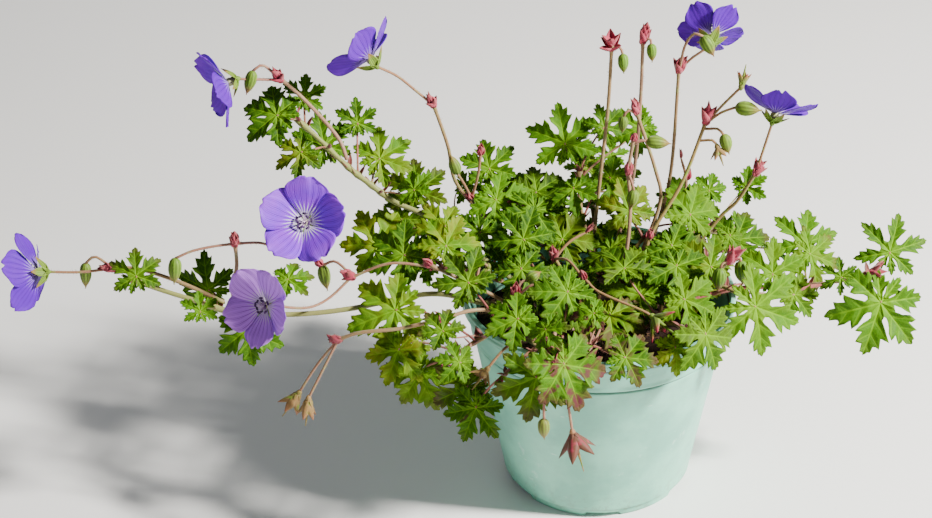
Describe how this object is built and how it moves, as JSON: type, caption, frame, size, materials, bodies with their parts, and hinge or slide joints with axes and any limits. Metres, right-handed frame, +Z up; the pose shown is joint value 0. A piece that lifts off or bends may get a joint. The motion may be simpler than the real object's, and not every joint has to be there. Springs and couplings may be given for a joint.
{
  "type": "potted hardy geranium",
  "caption": "Hardy geranium in a round pale-green nursery pot: trailing leafy stems, tall flower stalks, buds, seed heads and open violet blooms.",
  "frame": {"origin": "middle of the pot's base, on the surface that it stands on", "axes": "+Z up; X along the plant's longest spread, with the longest runner towards -X; -Y towards the viewer"},
  "size_m": [0.6133, 0.2748, 0.3355],
  "materials": {
    "pot": "thin moulded pale grey-green plastic, satin, lightly scuffed",
    "peat": "dark damp peat with bark bits",
    "foliage": "fresh green softly hairy leaves with pale veins",
    "stalks": "hairy tan to reddish flower stalks, crimson bracts, green buds",
    "petals": "silky violet-blue petals, white at the throat, with dark veins",
    "stamens": "dark violet stamens and style"
  },
  "bodies": {
    "root": {"pot": "pot", "soil": "peat", "stem_left_runner": "foliage", "stem_upper_left": "foliage", "stem_left_top": "foliage", "stem_left_middle": "foliage", "stem_left_front": "foliage", "stem_front_left": "foliage", "stem_front": "foliage", "stem_middle_left": "foliage", "stem_middle": "foliage", "stem_top": "foliage", "stem_middle_right": "foliage", "stem_front_right": "foliage", "stem_right_upper": "foliage", "stem_right_middle": "foliage", "stem_right_runner": "foliage", "stem_back_1": "foliage", "stem_back_2": "foliage", "stem_back_3": "foliage", "stalk_left_end": "stalks", "stalk_left_pair": "stalks", "stalk_left_low": "stalks", "stalk_upper_left": "stalks", "stalk_top_left": "stalks", "stalk_seed_left": "stalks", "stalk_tall_one": "stalks", "stalk_tall_two": "stalks", "stalk_pale": "stalks", "stalk_middle": "stalks", "stalk_right_back": "stalks", "stalk_right_cluster": "stalks", "stalk_right_bloom": "stalks", "stalk_front": "stalks", "stalk_pink": "stalks", "stalk_arched": "stalks", "stalk_right_buds": "stalks", "stalk_front_seed": "stalks", "bloom_upper_left": "petals", "heart_upper_left": "stamens", "bloom_top_left": "petals", "heart_top_left": "stamens", "bloom_left_face": "petals", "heart_left_face": "stamens", "bloom_left_low": "petals", "heart_left_low": "stamens", "bloom_left_end": "petals", "heart_left_end": "stamens", "bloom_right_back": "petals", "heart_right_back": "stamens", "bloom_right_front": "petals", "heart_right_front": "stamens"}
  },
  "joints": []
}
